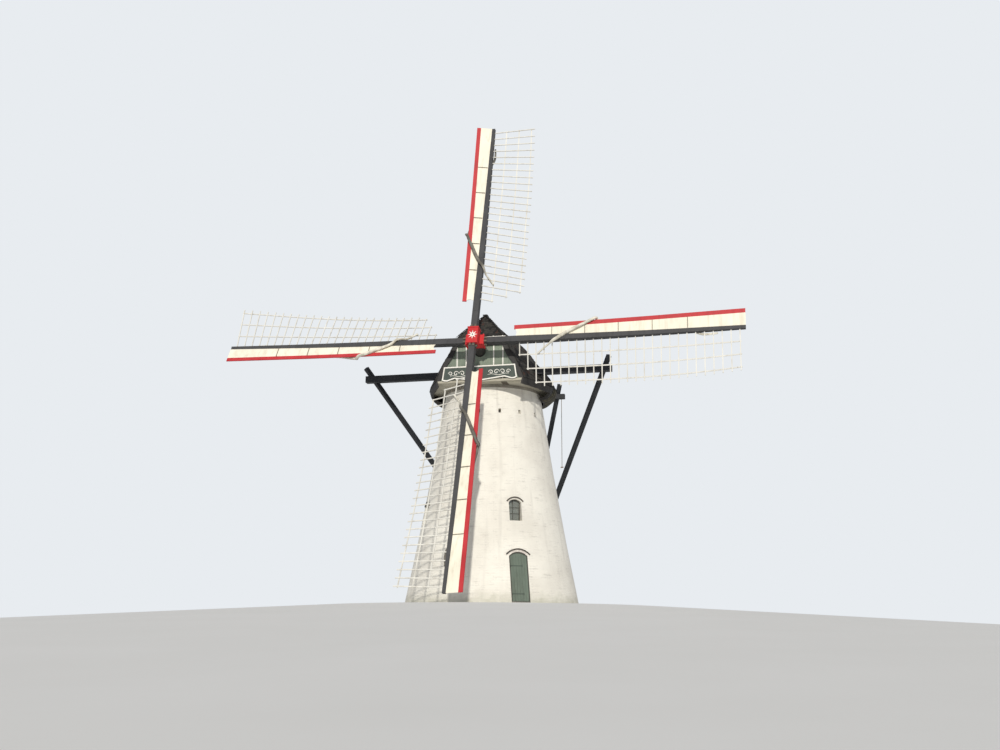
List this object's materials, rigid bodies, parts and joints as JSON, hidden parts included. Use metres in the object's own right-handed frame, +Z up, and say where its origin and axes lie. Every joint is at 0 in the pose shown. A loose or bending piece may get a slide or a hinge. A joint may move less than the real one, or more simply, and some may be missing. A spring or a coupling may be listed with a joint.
{
  "type": "tower windmill",
  "caption": "Round whitewashed brick tower mill with a turning bell-shaped cap, tail pole and braces, and lattice sails on tapered stocks with wind boards.",
  "frame": {"origin": "centre of the tower at ground level", "axes": "+Z up, -Y out of the front doorway, +X to the right of someone facing the front door"},
  "size_m": [21.8904, 17.1746, 25.0191],
  "materials": {
    "limewashed_brick": "matt",
    "floor_stone": "matt",
    "floor_timber": "matt",
    "drip_tile": "matt",
    "door_paint": "satin",
    "frame_paint": "satin",
    "forged_iron": "matt",
    "window_glass": "polished",
    "oak": "matt",
    "roof_shingle": "matt",
    "eaves_boards": "matt",
    "gable_green": "satin",
    "trim_white": "satin",
    "board_green": "satin",
    "beam_black": "satin",
    "rope": "matt",
    "toggle_wood": "matt",
    "shaft_iron": "matt",
    "poll_red": "satin",
    "stock_grey": "satin",
    "lattice_white": "satin",
    "board_cream": "satin",
    "board_red": "satin"
  },
  "bodies": {
    "tower": {"ground_wall_left_front": "limewashed_brick", "ground_wall_left_rear": "limewashed_brick", "ground_wall_right_front": "limewashed_brick", "ground_wall_right_rear": "limewashed_brick", "door_arches": "limewashed_brick", "middle_wall_front": "limewashed_brick", "middle_wall_right": "limewashed_brick", "middle_wall_rear": "limewashed_brick", "middle_wall_left": "limewashed_brick", "top_wall_right": "limewashed_brick", "top_wall_left": "limewashed_brick", "ground_floor": "floor_stone", "first_floor": "floor_timber", "drip_arches": "drip_tile", "door_frames": "frame_paint", "window_frames": "frame_paint", "door_pintles": "forged_iron", "window_panes": "window_glass", "curb_ring": "oak"},
    "front_door": {"front_door": "door_paint", "front_door_straps": "forged_iron"},
    "rear_door": {"rear_door": "door_paint", "rear_door_straps": "forged_iron"},
    "cap": {"cap_ring": "oak", "cap_frame": "oak", "neck_bearing": "shaft_iron", "roof_right": "roof_shingle", "roof_left": "roof_shingle", "verge_boards": "roof_shingle", "eaves_boards": "eaves_boards", "gable": "gable_green", "gable_battens": "trim_white", "beard_board": "board_green", "long_spruce": "beam_black", "short_spruce": "beam_black", "tail_pole": "beam_black", "long_braces": "beam_black", "short_braces": "beam_black", "brake_rope": "rope", "rope_toggle": "toggle_wood"},
    "sails": {"windshaft": "shaft_iron", "poll_end": "poll_red", "outer_stock": "stock_grey", "inner_stock": "stock_grey", "sail_frame_top": "lattice_white", "sail_frame_right": "lattice_white", "sail_frame_bottom": "lattice_white", "sail_frame_left": "lattice_white", "wind_boards": "board_cream", "leading_boards": "board_red"}
  },
  "joints": [
    {"name": "cap_turn", "type": "hinge", "parent": "tower", "child": "cap", "pos_m": [0, 0, 10.52], "axis": [0, 0, 1], "continuous": true},
    {"name": "sails_turn", "type": "hinge", "parent": "cap", "child": "sails", "pos_m": [-2.2201, -3.62287, 12.589], "axis": [-0.505, -0.8242, 0.2563], "continuous": true},
    {"name": "front_door_swing", "type": "hinge", "parent": "tower", "child": "front_door", "pos_m": [-0.4025, -4.22532, 0.20292], "axis": [0, -0.1937, -0.9811], "range_deg": [0, 100]},
    {"name": "rear_door_swing", "type": "hinge", "parent": "tower", "child": "rear_door", "pos_m": [0.4025, 4.22532, 0.20292], "axis": [0, 0.1937, -0.9811], "range_deg": [0, 100]}
  ]
}
